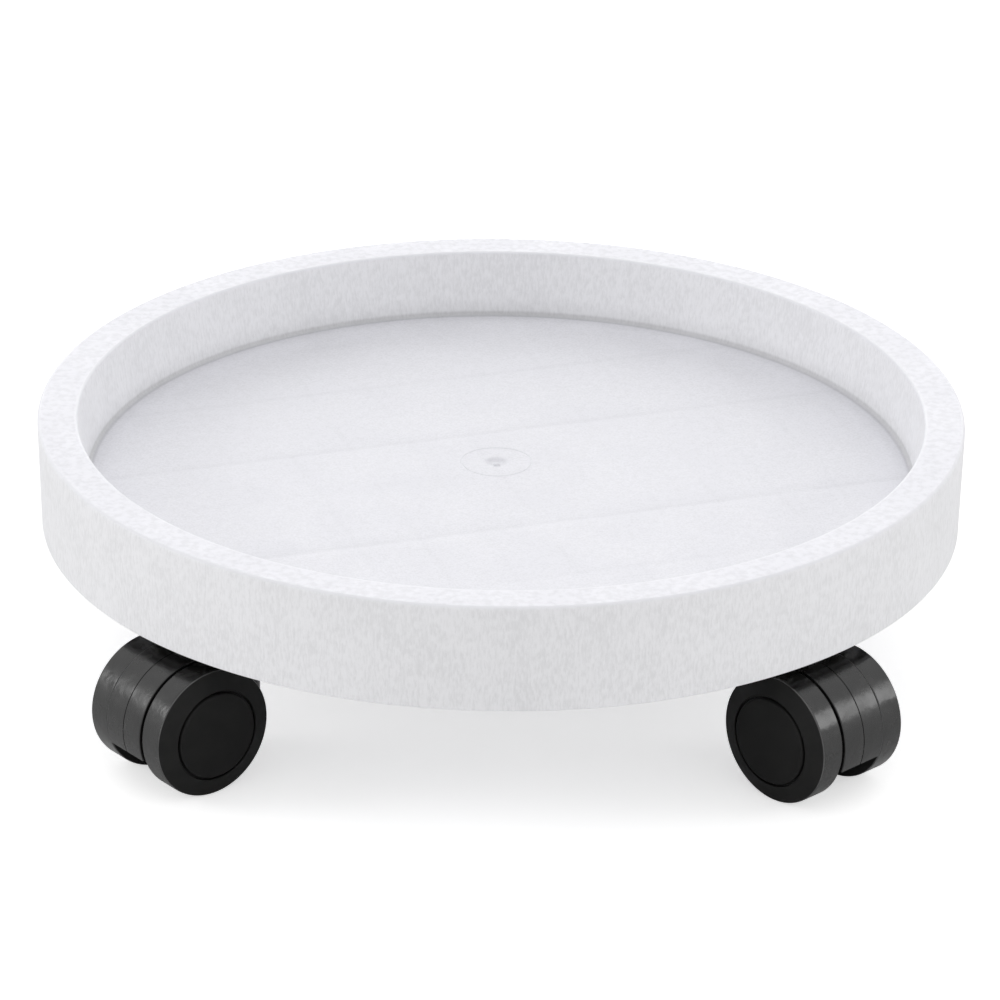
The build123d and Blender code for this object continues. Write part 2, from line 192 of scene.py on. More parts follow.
def outline(name: str, corners: Sequence[Corner], closed: bool = True) -> Piece:
    """Draw an outline corner by corner in the XZ plane, and round the corners that ask for it.

    Args:
        name: Name of the new piece.
        corners: The outline's corners in order.
        closed: Whether the last corner joins the first.

    Returns:
        A piece of edges alone.
    """
    release()
    bpy.ops.mesh.primitive_plane_add(size=1)
    piece = bpy.context.object
    piece.name = name
    with editing(piece):
        bpy.ops.mesh.merge(type="CENTER")
        bpy.ops.transform.translate(value=corners[0].place)
        for before, after in zip(corners, corners[1:]):
            bpy.ops.mesh.extrude_vertices_move(TRANSFORM_OT_translate={"value": after.place - before.place})
        if closed:
            ends = (corners[0].place, corners[-1].place)
            choose(Kind.VERT, lambda place: min((place - end).length for end in ends) < TINY)
            bpy.ops.mesh.edge_face_add()
        for corner in corners:
            if corner.round:
                choose(Kind.VERT, lambda place, at=corner.place: (place - at).length < TINY)
                bpy.ops.mesh.bevel(offset=corner.round, segments=ROUND_STEPS, affect="VERTICES")
    return piece


def turned(name: str, corners: Sequence[Corner], steps: int, closed: bool = True,
           sweep: float = 360.0) -> Piece:
    """Spin an outline about Z.

    Args:
        name: Name of the new piece.
        corners: Outline of half the section.
        steps: Number of steps in the sweep.
        closed: Whether the outline is a loop; one that starts and ends on the axis isn't.
        sweep: Angle of the sweep in degrees, from +X towards -Y; less than a turn gets flat ends.

    Returns:
        A closed solid.
    """
    piece = outline(name, corners, closed)
    with editing(piece):
        bpy.ops.mesh.spin(steps=steps, angle=math.radians(sweep), center=(0, 0, 0), axis=(0, 0, 1))
        bpy.ops.mesh.select_all(action="SELECT")
        bpy.ops.mesh.remove_doubles(threshold=TINY / 4)
        if sweep < 360:
            bpy.ops.mesh.fill_holes(sides=0)
        bpy.ops.mesh.select_all(action="SELECT")
        bpy.ops.mesh.normals_make_consistent(inside=False)
    return piece


def rod(name: str, radius: float, low: float, high: float, steps: int = 96, soften: float = 0.0,
        place: Matrix = UNMOVED) -> Piece:
    """Make a plain round rod, about Z unless it is moved.

    Args:
        name: Name of the new piece.
        radius: Its radius.
        low: Height of its lower end.
        high: Height of its upper end.
        steps: Number of steps round it.
        soften: Rounding of its lower edge.
        place: The move to its place.

    Returns:
        A closed solid.
    """
    corners = path((0, low), (radius, low, soften), (radius, high), (0, high))
    piece = turned(name, corners, steps, closed=False)
    piece.data.transform(place)
    return piece


def slab(name: str, corners: Sequence[Corner], thickness: float) -> Piece:
    """Extrude a closed outline along Y, evenly to both sides of it.

    Args:
        name: Name of the new piece.
        corners: The slab's outline.
        thickness: How thick it is.

    Returns:
        A closed solid.
    """
    piece = outline(name, corners)
    with editing(piece):
        bpy.ops.mesh.edge_face_add()
        bpy.ops.transform.translate(value=(0, -thickness / 2, 0))
        bpy.ops.mesh.extrude_region_move(TRANSFORM_OT_translate={"value": (0, thickness, 0)})
        bpy.ops.mesh.select_all(action="SELECT")
        bpy.ops.mesh.normals_make_consistent(inside=False)
    return piece


def bar(name: str, size: Sequence[float], centre: Sequence[float], soften: float = 0.3) -> Piece:
    """Make a straight bar whose lower edges are softened.

    Args:
        name: Name of the new piece.
        size: Its length along X, Y and Z.
        centre: Where its middle is.
        soften: Width of the rounding along its lower edges.

    Returns:
        A closed solid.
    """
    release()
    bpy.ops.mesh.primitive_cube_add(size=1)
    piece = bpy.context.object
    piece.name = name
    low = centre[2] - size[2] / 2
    with editing(piece):
        bpy.ops.transform.resize(value=size)
        bpy.ops.transform.translate(value=centre)
        choose(Kind.EDGE, lambda place: place.z < low + TINY)
        bpy.ops.mesh.bevel(offset=soften, segments=2, affect="EDGES")
    return piece


def combine(piece: Piece, tool: Piece, how: Join) -> Piece:
    """Combine a piece with a second one, which is used up.

    Args:
        piece: The piece that stays.
        tool: The piece that is joined to it or taken from it.
        how: The way they are combined.

    Returns:
        The piece that stays.
    """
    modifier = piece.modifiers.new("combine", "BOOLEAN")
    modifier.operation = how.value
    modifier.solver = "EXACT"
    modifier.object = tool
    activate(piece)
    bpy.ops.object.modifier_apply(modifier=modifier.name)
    discard(tool)
    return piece


def discard(piece: Piece) -> None:
    """Throw a piece and its mesh away.

    Args:
        piece: What is thrown away.
    """
    mesh = piece.data
    bpy.data.objects.remove(piece)
    bpy.data.meshes.remove(mesh)


def copied(piece: Piece, place: Matrix, name: str = "copy") -> Piece:
    """Copy a piece, with its own mesh, to another place.

    Args:
        piece: What is copied.
        place: The move from the one place to the other.
        name: Name of the copy.

    Returns:
        The copy, with its object at the origin.
    """
    copy = piece.copy()
    copy.data = piece.data.copy()
    copy.name = name
    copy.data.name = name
    copy.data.transform(place)
    bpy.context.scene.collection.objects.link(copy)
    return copy


def joined(name: str, pieces: Sequence[Piece]) -> Piece:
    """Join several pieces in one object.

    Args:
        name: Name of the joined piece.
        pieces: What is joined.

    Returns:
        The joined piece.
    """
    activate(*pieces)
    bpy.ops.object.join()
    pieces[0].name = name
    return pieces[0]


def smoothed(piece: Piece) -> Piece:
    """Shade a piece smooth, with its large flat faces kept flat.

    Args:
        piece: What is shaded.

    Returns:
        The same piece.
    """
    activate(piece)
    bpy.ops.object.shade_smooth_by_angle(angle=math.radians(SHARP_ANGLE))
    modifier = piece.modifiers.new("even_normals", "WEIGHTED_NORMAL")
    modifier.keep_sharp = True
    bpy.ops.object.modifier_apply(modifier=modifier.name)
    return piece


def about_z(degrees: float) -> Matrix:
    """Turn about Z."""
    return Matrix.Rotation(math.radians(degrees), 4, "Z")


def rgba(colour: "Source") -> "Source":
    """Give a colour its fourth number; a socket stays as it is."""
    return colour if isinstance(colour, bpy.types.NodeSocket) else (*colour, 1.0)


class Sketch:
    """Node tree of one material or world, built up call by call."""

    def __init__(self, holder: "bpy.types.Material | bpy.types.World") -> None:
        """Empty the tree of a material or a world.

        Args:
            holder: The material or world.
        """
        self.holder = holder
        holder.use_nodes = True
        self.tree = holder.node_tree
        self.tree.nodes.clear()

    def add(self, kind: str, inputs: "dict[str | int, Source] | None" = None,
            **settings: object) -> bpy.types.Node:
        """Add a node.

        Args:
            kind: The node's type, without the usual start.
            inputs: What goes in each input: a socket or a plain value.
            settings: The node's own settings.

        Returns:
            The new node.
        """
        node = self.tree.nodes.new("ShaderNode" + kind)
        for key, value in settings.items():
            setattr(node, key, value)
        for key, value in (inputs or {}).items():
            if isinstance(value, bpy.types.NodeSocket):
                self.tree.links.new(value, node.inputs[key])
            else:
                node.inputs[key].default_value = value
        return node

    def math(self, operation: str, *values: "Source") -> Socket:
        """Result of a sum on numbers."""
        return self.add("Math", dict(enumerate(values)), operation=operation).outputs[0]

    def weighted(self, first: "Source", share: "Source", second: "Source", other: "Source") -> Socket:
        """Sum of two numbers, each times its own share."""
        return self.math("ADD", self.math("MULTIPLY", first, share), self.math("MULTIPLY", second, other))

    def product(self, *values: "Source") -> "Source":
        """Product of several numbers."""
        return reduce(lambda first, other: self.math("MULTIPLY", first, other), values)

    def gap(self, value: Socket, level: float) -> Socket:
        """Distance of a value in metres from a level in millimetres."""
        return self.math("ABSOLUTE", self.math("SUBTRACT", value, level * METRE))

    def blend(self, factor: "Source", low: "Source", high: "Source") -> Socket:
        """Number between two others, by a factor."""
        return self.add("Mix", {0: factor, 2: low, 3: high}).outputs[0]

    def span(self, value: Socket, low: float, high: float, start: float = 0.0, end: float = 1.0) -> Socket:
        """Number that runs smoothly from start to end while the value runs from low to high."""
        inputs = {0: value, 1: low, 2: high, 3: start, 4: end}
        return self.add("MapRange", inputs, interpolation_type="SMOOTHSTEP").outputs[0]

    def ramp(self, value: Socket, low: float, high: float, start: float = 0.0, end: float = 1.0) -> Socket:
        """Span for a value in metres whose low and high are in millimetres."""
        return self.span(value, low * METRE, high * METRE, start, end)

    def tint(self, factor: "Source", first: "Source", second: "Source", how: str = "MIX") -> Socket:
        """Colour made from two others, by a factor and a way to blend them."""
        inputs = {0: factor, 6: rgba(first), 7: rgba(second)}
        return self.add("Mix", inputs, data_type="RGBA", blend_type=how).outputs[2]

    def place(self, stretch: Sequence[float] = (1.0, 1.0, 1.0), turn: float = 0.0) -> Socket:
        """Stretch and turn the object coordinates.

        Args:
            stretch: Factors along the three axes.
            turn: Turn about Z in degrees.

        Returns:
            The coordinates in metres.
        """
        coordinates = self.add("TexCoord").outputs["Object"]
        inputs = {"Vector": coordinates, "Scale": stretch, "Rotation": (0, 0, math.radians(turn))}
        return self.add("Mapping", inputs).outputs[0]

    def noise(self, feature: float, detail: float = 2.0, stretch: Sequence[float] = (1.0, 1.0, 1.0),
              turn: float = 0.0, roughness: float = 0.5) -> Socket:
        """Noise with features of about the given size in millimetres.

        Args:
            feature: Size of a feature across.
            detail: How many finer layers it has.
            stretch: Factors on the coordinates; a small one draws the noise out that way.
            turn: Turn of the coordinates about Z.
            roughness: Weight of the finer layers.

        Returns:
            A number of about 0.5 on average.
        """
        inputs = {"Vector": self.place(stretch, turn), "Scale": 1 / (feature * METRE),
                  "Detail": detail, "Roughness": roughness}
        return self.add("TexNoise", inputs).outputs[0]

    def bump(self, height: Socket, depth: float, strength: float = 1.0) -> Socket:
        """Normal bent by a height of 0 to 1 that stands for a depth in millimetres."""
        inputs = {"Height": height, "Distance": depth * METRE, "Strength": strength}
        return self.add("Bump", inputs).outputs[0]

    def close(self, shader: Socket) -> None:
        """Join the shader to the output."""
        kind = "World" if isinstance(self.holder, bpy.types.World) else "Material"
        self.add("Output" + kind, {"Surface": shader})

    def surface(self, inputs: "dict[str | int, Source]") -> None:
        """End in a principled surface with these inputs."""
        self.close(self.add("BsdfPrincipled", inputs).outputs[0])


@dataclass(frozen=True)
class Finish:
    """A finish that a piece can have."""

    name: str

    def draw(self, sketch: Sketch) -> None:
        """Draw the finish's nodes."""
        raise NotImplementedError

    def material(self) -> bpy.types.Material:
        """Make the finish's material, or fetch it if it was made before.

        Returns:
            The one material that all its pieces share.
        """
        material = bpy.data.materials.get(self.name)
        if material is None:
            material = bpy.data.materials.new(self.name)
            self.draw(Sketch(material))
        return material

    def apply(self, piece: Piece, *others: "Finish") -> None:
        """Give a piece this finish, and others in the slots after it.

        Args:
            piece: What is dressed.
            others: The other finishes, if its faces have several.
        """
        piece.data.materials.clear()
        for finish in (self, *others):
            piece.data.materials.append(finish.material())


@dataclass(frozen=True)
class FoamedWhite(Finish):
    """White structural foam: fine upright grain on walls, mottled rim, finely grained floor.

    Radii, heights and widths are in millimetres. Painted light and shade are factors on the colour by place in
    the
    moulding: painted shade in the corner round the floor, on the floor and along the sink lines over the ribs,
    painted light on the inner wall and skirt, painted cool light on the rim and floor, and a painted highlight
    along the rim's edges.
    """

    floor_edge: float
    floor_level: float
    rim_level: float
    rim_inner: float
    rim_outer: float
    rib_angle: float
    cross_pitch: float
    colour: Colour = (0.885, 0.885, 0.905)
    shade: Colour = (0.795, 0.795, 0.812)
    shade_span: "tuple[float, float]" = (0.44, 0.72)
    # Painted highlight along the rim's edges:
    edge_highlight: Colour = (0.93, 0.93, 0.94)
    edge_highlight_width: float = 1.1
    edge_highlight_share: float = 0.85
    # Painted shade in the corner round the floor, and in a wider band beside it:
    corner_shade: float = 0.76
    corner_width: float = 2.0
    verge_shade: float = 0.92
    verge_width: float = 8.0
    # Painted light by region: shade on the floor, light on the inner wall and the skirt:
    floor_shade: float = 0.955
    wall_light: float = 1.06
    skirt_light: float = 1.07
    # Painted cool light on the rim and floor:
    cool_light: float = 1.03
    # Painted shade along the sink lines over the ribs:
    sink_lines: Rows = ((-94.5, 0.02), (-47.5, 0.045), (39.5, 0.045), (94.5, 0.03))
    sink_width: float = 2.4
    cross_shade: float = 0.018
    cross_width: float = 2.0
    fine_grain: float = 0.95
    streak_stretch: float = 0.26
    mottle_size: float = 3.0
    cloud_size: float = 22.0
    grain_share: float = 0.7
    broad_share: float = 0.25
    grain_depth: float = 0.08
    grain_strength: float = 0.8
    gloss_roughness: float = 0.46
    gloss_level: float = 0.35

    def draw(self, sketch: Sketch) -> None:
        """Draw three grains that meet at the floor's edge and the rim, and the painted light and shade over
        them.

        Args:
            sketch: The material's tree.
        """
        x, y, height = sketch.add("SeparateXYZ", {0: sketch.place()}).outputs
        reach = sketch.math("SQRT", sketch.weighted(x, x, y, y))
        on_rim = sketch.ramp(height, self.rim_level - 1.2, self.rim_level - 0.2)
        off_floor = sketch.ramp(reach, self.floor_edge - 1.5, self.floor_edge + 0.3)
        upright = sketch.noise(self.fine_grain, 3, stretch=(1, 1, self.streak_stretch), roughness=0.65)
        speckle = sketch.noise(self.fine_grain, 3, roughness=0.7)
        mottle = sketch.noise(self.mottle_size, 4, roughness=0.6)
        cloud = sketch.noise(self.cloud_size, 3, roughness=0.55)
        grain = sketch.blend(on_rim, sketch.blend(off_floor, speckle, upright), mottle)
        broad = sketch.weighted(mottle, self.broad_share, cloud, self.broad_share)
        mixed = sketch.weighted(grain, self.grain_share, broad, 1.0)
        plain = sketch.tint(sketch.span(mixed, *self.shade_span), self.shade, self.colour)
        # Painted highlight: the rim is painted paler near both of its edges, where their rounding catches
        # light.
        edge = sketch.math("MINIMUM", sketch.gap(reach, self.rim_inner + 0.5),
                           sketch.gap(reach, self.rim_outer - 0.7))
        near_edge = sketch.ramp(edge, 0.0, self.edge_highlight_width, self.edge_highlight_share, 0.0)
        paler_colour = sketch.tint(sketch.product(on_rim, near_edge), plain, self.edge_highlight)
        # Painted shade: darker in the corner round the floor, and a little darker in a wider band beside it.
        line = sketch.math("MAXIMUM", sketch.gap(reach, self.floor_edge - 0.5),
                           sketch.gap(height, self.floor_level + 0.4))
        corner = sketch.ramp(line, 0.3, self.corner_width, self.corner_shade, 1.0)
        verge = sketch.ramp(line, 0.5, self.verge_width, self.verge_shade, 1.0)
        # Painted light and shade by region: the floor is painted darker, the inner wall and the skirt lighter.
        inside = sketch.ramp(reach, self.rim_inner + 1, self.rim_inner + 3, 1.0, 0.0)
        in_well = sketch.blend(off_floor, self.floor_shade, self.wall_light)
        region_light = sketch.blend(on_rim, sketch.blend(inside, self.skirt_light, in_well), 1.0)
        # Painted shade along the sink lines over the ribs.
        sink_shading = sketch.blend(off_floor, self.painted_sink_shade(sketch, x, y, cloud), 1.0)
        painted_shading = sketch.product(corner, verge, region_light, sink_shading)
        # Painted cool light: the rim and floor are tinted bluer than the walls.
        level = sketch.math("MAXIMUM", on_rim, sketch.math("SUBTRACT", 1.0, off_floor))
        cool_lit_blue = sketch.product(painted_shading, sketch.blend(level, 1.0, self.cool_light))
        painted_shading_rgb = sketch.add("CombineXYZ", {0: painted_shading, 1: painted_shading, 2: cool_lit_blue}).outputs[0]
        patchy = sketch.product(grain, sketch.span(cloud, 0.35, 0.65, 0.55, 1.0))
        sketch.surface({
            "Base Color": sketch.tint(1.0, paler_colour, painted_shading_rgb, "MULTIPLY"),
            "Roughness": sketch.span(cloud, 0.3, 0.7, self.gloss_roughness - 0.05, self.gloss_roughness + 0.07),
            "Specular IOR Level": self.gloss_level,
            "Normal": sketch.bump(patchy, self.grain_depth, self.grain_strength),
        })

    def painted_sink_shade(self, sketch: Sketch, x: Socket, y: Socket, cloud: Socket) -> Socket:
        """Painted shade along the faint sink lines that the ribs leave on the floor.

        Args:
            sketch: The material's tree.
            x: Place along X on the tray.
            y: Place along Y.
            cloud: Broad noise that breaks the lines up.

        Returns:
            A factor of about 1 off the lines and less on them.
        """
        cosine, sine = math.cos(math.radians(self.rib_angle)), math.sin(math.radians(self.rib_angle))
        along = sketch.weighted(x, cosine, y, sine)
        across = sketch.weighted(y, cosine, x, -sine)
        patches = sketch.span(cloud, 0.42, 0.62)
        hold = sketch.blend(patches, 0.7, 1.0)
        total: Source = 1.0
        for offset, shade_depth in self.sink_lines:
            dip = sketch.ramp(sketch.gap(across, offset), 0.3, self.sink_width, shade_depth, 0.0)
            total = sketch.math("SUBTRACT", total, sketch.product(dip, hold))
        cell = sketch.math("PINGPONG", along, self.cross_pitch / 2 * METRE)
        cross = sketch.ramp(cell, 0.3, self.cross_width, self.cross_shade, 0.0)
        return sketch.math("SUBTRACT", total, sketch.product(cross, patches))


@dataclass(frozen=True)
class MouldedBlack(Finish):
    """Black moulded plastic with a faint ripple, worn a little paler in patches."""

    colour: Colour = (0.0065, 0.0065, 0.0065)
    paler_colour: Colour = (0.011, 0.011, 0.0105)
    roughness: float = 0.34
    specular: float = 0.5
    ripple: float = 0.02
    cloud_size: float = 9.0
    wave_size: float = 6.0
    fine_size: float = 0.6
    wave_share: float = 0.93

    def draw(self, sketch: Sketch) -> None:
        """Draw worn patches, and a wavy skin with a fine grain on it.

        Args:
            sketch: The material's tree.
        """
        cloud = sketch.noise(self.cloud_size, 3, roughness=0.6)
        height = sketch.weighted(sketch.noise(self.wave_size), self.wave_share,
                                 sketch.noise(self.fine_size), 1 - self.wave_share)
        sketch.surface({
            "Base Color": sketch.tint(sketch.span(cloud, 0.35, 0.7), self.colour, self.paler_colour),
            "Roughness": sketch.span(cloud, 0.3, 0.7, self.roughness - 0.05, self.roughness + 0.09),
            "Specular IOR Level": self.specular, "Normal": sketch.bump(height, self.ripple),
        })


@dataclass(frozen=True)
class Steel(Finish):
    """Steel under a thin plating, with a drawn grain along one way and dull spots."""

    bright: Colour = (0.62, 0.62, 0.60)
    dull: Colour = (0.45, 0.45, 0.44)
    roughness: float = 0.34
    grain: Colour = (1.0, 0.08, 1.0)
    grain_size: float = 0.5
    grain_turn: float = 45.0
    spot_size: float = 3.5
    scratch: float = 0.01

    def draw(self, sketch: Sketch) -> None:
        """Draw the spots and the grain.

        Args:
            sketch: The material's tree.
        """
        drawn = sketch.noise(self.grain_size, 2, stretch=self.grain, turn=self.grain_turn)
        spots = sketch.noise(self.spot_size, 4, roughness=0.65)
        sketch.surface({
            "Base Color": sketch.tint(sketch.span(spots, 0.38, 0.68), self.bright, self.dull),
            "Roughness": sketch.span(spots, 0.3, 0.7, self.roughness - 0.08, self.roughness + 0.16),
            "Metallic": 1.0, "Normal": sketch.bump(drawn, self.scratch),
        })


@dataclass(frozen=True)
class Nylon(Finish):
    """Milky nylon that light goes a little way into."""

    colour: Colour = (0.72, 0.71, 0.67)
    stained: Colour = (0.55, 0.53, 0.48)
    roughness: float = 0.42
    depth: Colour = (0.002, 0.002, 0.0015)
    softness: float = 0.25

    def draw(self, sketch: Sketch) -> None:
        """Draw a faint stain and a fine skin.

        Args:
            sketch: The material's tree.
        """
        stain = sketch.noise(4.0, 3)
        sketch.surface({
            "Base Color": sketch.tint(sketch.span(stain, 0.4, 0.7), self.colour, self.stained),
            "Roughness": self.roughness, "Subsurface Weight": self.softness, "Subsurface Radius": self.depth,
            "Subsurface Scale": 1.0, "Normal": sketch.bump(sketch.noise(0.5), 0.01),
        })


HOOD_BLACK = MouldedBlack("satin_black_hood", roughness=0.21, specular=0.66, ripple=0.18)
TREAD_BLACK = MouldedBlack("satin_black_tread", roughness=0.2, specular=0.66, ripple=0.18)
# Painted highlight: a paler black on the thin rounded edge between tread and face.
EDGE_BLACK = MouldedBlack("rubbed_black_edge", colour=(0.03, 0.03, 0.03), paler_colour=(0.07, 0.07, 0.07),
                          specular=0.8)
FACE_BLACK = MouldedBlack("matt_black_face", roughness=0.5, specular=0.2, ripple=0.05)
CAP_BLACK = MouldedBlack("matt_black_cap", colour=(0.0098, 0.0098, 0.0098), paler_colour=(0.0135, 0.0135, 0.0132),
                         roughness=0.5, specular=0.14)
PLATE_STEEL = Steel("zinc_plate")
SCREW_STEEL = Steel("zinc_screw", roughness=0.28, grain=(1.0, 1.0, 1.0))
PIN_STEEL = Steel("ground_pin", bright=(0.55, 0.55, 0.55), roughness=0.25, grain=(1.0, 1.0, 0.1))
CLIP_STEEL = Steel("spring_clip", bright=(0.20, 0.19, 0.18), dull=(0.10, 0.10, 0.10), roughness=0.38)
WASHER_NYLON = Nylon("milky_nylon")


@dataclass
class Tray:
    """The one-piece moulded tray, with its ribs, gussets and caster pads below."""

    rim_radius: float = 177.5
    rim_width: float = 15.4
    rim_top: float = 98.5
    foot_level: float = 56.2
    wall_draft: float = 1.3
    floor_level: float = 72.4
    well_taper: float = 3.5
    wall: float = 3.0
    turn_steps: int = 384
    floor_step: float = 2.4
    rib_angle: float = 18.5
    rib_thickness: float = 2.2
    rib_clearance: float = 1.0
    long_ribs: "tuple[float, ...]" = (-94.5, -47.5, 0.0, 39.5, 94.5)
    cross_pitch: float = 24.0
    cross_count: int = 13
    gussets: int = 24
    gate_place: "tuple[float, float]" = (-1.6, 11.2)
    gate_depth: float = 1.2
    gate_dish: Rows = ((0, 0.75), (0.6, 0.75), (1.0, 0.55), (1.5, 0.05), (2.1, 0), (2.9, 0.2), (3.6, 0.55))
    gate_brim: Rows = ((4.3, -0.25), (5.0, -0.06), (5.7, 0))
    gate_ring: float = 13.5
    ring_groove: Rows = ((-1.2, 0), (-0.5, 0.04), (-0.3, -0.1), (0, -0.15), (0.3, -0.1), (0.5, 0.04), (1.2, 0))
    pad_azimuths: "tuple[float, ...]" = (-135.0, -45.0, 45.0, 135.0)
    pad_distance: float = 150.5
    pad_side: float = 38.0
    pad_wall: float = 2.5
    boss_spacing: float = 30.0
    boss_radius: float = 4.2
    boss_bore: float = 1.95
    gate_slide: "tuple[float, float]" = (20.0, 110.0)
    gate_clear: "tuple[float, float]" = (14.0, 20.0)
    sink_depth: float = 0.26
    sink_width: float = 3.2
    sink_shares: "tuple[float, ...]" = (0.4, 1.0, 0.15, 0.9, 0.6)
    sink_margin: "tuple[float, float]" = (5.0, 1.5)
    cross_sink_depth: float = 0.07
    cross_sink_width: float = 2.6
    cross_wave: float = 31.0
    cross_shift: float = 2.1
    pieces: "list[Piece]" = field(default_factory=list)

    @property
    def well_mouth(self) -> float:
        """Radius of the well at the rim."""
        return self.rim_radius - self.rim_width

    @property
    def well_floor(self) -> float:
        """Radius of the well at its floor."""
        return self.well_mouth - self.well_taper

    @property
    def skirt_foot(self) -> float:
        """Radius of the skirt at its foot."""
        return self.rim_radius - self.wall_draft

    def floor_corners(self) -> "list[Corner]":
        """Upper side of the floor from its middle out: gate nub, dish, ring, and then even steps.

        Returns:
            The corners in order.
        """
        level = self.floor_level
        bottom = level - self.gate_depth
        dish = [Corner(radius, bottom + rise) for radius, rise in self.gate_dish]
        brim = [Corner(radius, level + rise) for radius, rise in self.gate_brim]
        ring = [Corner(self.gate_ring + beside, level + rise) for beside, rise in self.ring_groove]
        first = self.gate_ring + self.floor_step
        last = self.well_floor - self.floor_step
        count = round((last - first) / self.floor_step)
        even = [Corner(first + i * (last - first) / count, level) for i in range(count + 1)]
        return dish + brim + ring + even

    def moulding(self) -> Piece:
        """Turn the tray's shell and press the sink marks in its floor.

        Returns:
            The shell.
        """
        channel_top = self.rim_top - self.wall
        underside = self.floor_level - self.wall
        corners = self.floor_corners() + path(
            (self.well_floor, self.floor_level, 1.2),
            (self.well_mouth, self.rim_top, 1.0),
            (self.rim_radius, self.rim_top, 1.5),
            (self.skirt_foot, self.foot_level, 0.5),
            (self.skirt_foot - self.wall, self.foot_level, 0.5),
            (self.rim_radius - self.wall, channel_top, 0.8),
            (self.well_mouth + self.wall, channel_top, 0.8),
            (self.well_floor + self.wall, underside, 0.8),
            (0, underside),
        )
        piece = turned("tray_moulding", corners, self.turn_steps, closed=False)
        flat = np.empty(len(piece.data.vertices) * 3)
        piece.data.vertices.foreach_get("co", flat)
        place = flat.reshape(-1, 3)
        self.move_gate(place)
        self.press_sinks(place)
        piece.data.vertices.foreach_set("co", flat)
        piece.data.update()
        return smoothed(piece)

    def move_gate(self, place: np.ndarray) -> None:
        """Slide the middle of the floor's upper side to the gate's place.

        Args:
            place: The shell's vertices, one row each.
        """
        reach = np.hypot(place[:, 0], place[:, 1])
        share = 1 - ease(reach, *self.gate_slide)
        share[place[:, 2] < self.floor_level - self.gate_depth - TINY] = 0
        place[:, :2] += share[:, None] * self.gate_place

    def press_sinks(self, place: np.ndarray) -> None:
        """Sink the floor a little over each rib, more over some than over others.

        Args:
            place: The shell's vertices, one row each.
        """
        angle = math.radians(self.rib_angle)
        along = place[:, 0] * math.cos(angle) + place[:, 1] * math.sin(angle)
        across = -place[:, 0] * math.sin(angle) + place[:, 1] * math.cos(angle)
        depth = np.zeros(len(place))
        for offset, share in zip(self.long_ribs, self.sink_shares):
            depth += self.sink_depth * share * np.exp(-((across - offset) / self.sink_width) ** 2)
        middle = (self.cross_count - 1) / 2
        for i in range(self.cross_count):
            near = np.exp(-((along - (i - middle) * self.cross_pitch) / self.cross_sink_width) ** 2)
            wave = 0.5 + 0.5 * np.cos(across / self.cross_wave + self.cross_shift * i)
            depth += self.cross_sink_depth * near * wave
        reach = np.hypot(place[:, 0], place[:, 1])
        from_gate = np.hypot(place[:, 0] - self.gate_place[0], place[:, 1] - self.gate_place[1])
        inside = 1 - ease(reach, *(self.well_floor - margin for margin in self.sink_margin))
        upper = place[:, 2] > self.floor_level - TINY
        place[:, 2] -= depth * ease(from_gate, *self.gate_clear) * inside * upper

    def floor_ribs(self) -> Piece:
        """Cross the long ribs with the short ones and trim them inside the skirt.

        Returns:
            All floor ribs as one piece.
        """
        low = self.foot_level + self.rib_clearance
        high = self.floor_level - self.wall + 1
        length = 2 * self.rim_radius
        size = high - low
        level = (high + low) / 2
        middle = (self.cross_count - 1) / 2
        thick = self.rib_thickness
        long_ones = [bar("rib", (length, thick, size), (0, offset, level)) for offset in self.long_ribs]
        cross_ones = [bar("rib", (thick, length, size), ((i - middle) * self.cross_pitch, 0, level))
                      for i in range(self.cross_count)]
        piece = combine(joined("tray_floor_ribs", long_ones), joined("cross_ribs", cross_ones), Join.UNION)
        trim = rod("trim", self.skirt_foot - self.wall / 2, low - 1, high + 1, 192)
        piece = combine(piece, trim, Join.KEEP_COMMON)
        piece.data.transform(about_z(self.rib_angle))
        return smoothed(piece)

    def rim_gussets(self) -> Piece:
        """Set radial webs round the channel inside the rim.

        Returns:
            All webs as one piece.
        """
        bite = self.wall / 2
        low = self.foot_level + self.rib_clearance
        high = self.rim_top - bite
        web = slab("web", path(
            (self.well_floor + bite, low), (self.well_floor + bite, self.floor_level - self.wall),
            (self.well_mouth + bite, high), (self.rim_radius - bite, high), (self.skirt_foot - bite, low),
        ), self.rib_thickness)
        with editing(web):
            choose(Kind.EDGE, lambda place: place.z < low + TINY and abs(place.y) > TINY)
            bpy.ops.mesh.bevel(offset=0.3, segments=2, affect="EDGES")
        step = 360 / self.gussets
        webs = [copied(web, about_z((i + 0.5) * step)) for i in range(self.gussets)]
        discard(web)
        return smoothed(joined("tray_rim_gussets", webs))

    def caster_pads(self) -> Piece:
        """Make one walled pad with its screw bosses and copy it to each caster's place.

        Returns:
            All pads as one piece.
        """
        high = self.floor_level - self.wall + 1
        size = high - self.foot_level
        level = (high + self.foot_level) / 2
        pad = bar("pad", (self.pad_side, self.pad_side, size), (0, 0, level))
        hollow = bar("hollow", (self.pad_side - 2 * self.pad_wall,) * 2 + (size + 2,), (0, 0, level), 0.2)
        pad = combine(pad, hollow, Join.CUT)
        half = self.boss_spacing / 2
        for x in (-half, half):
            for y in (-half, half):
                place = Matrix.Translation((x, y, 0))
                boss = rod("boss", self.boss_radius, self.foot_level, high, 32, soften=0.3, place=place)
                bore = rod("bore", self.boss_bore, self.foot_level - 1, high - 3, 24, place=place)
                pad = combine(combine(pad, boss, Join.UNION), bore, Join.CUT)
        pads = [copied(pad, about_z(azimuth) @ Matrix.Translation((self.pad_distance, 0, 0)))
                for azimuth in self.pad_azimuths]
        discard(pad)
        return smoothed(joined("tray_caster_pads", pads))

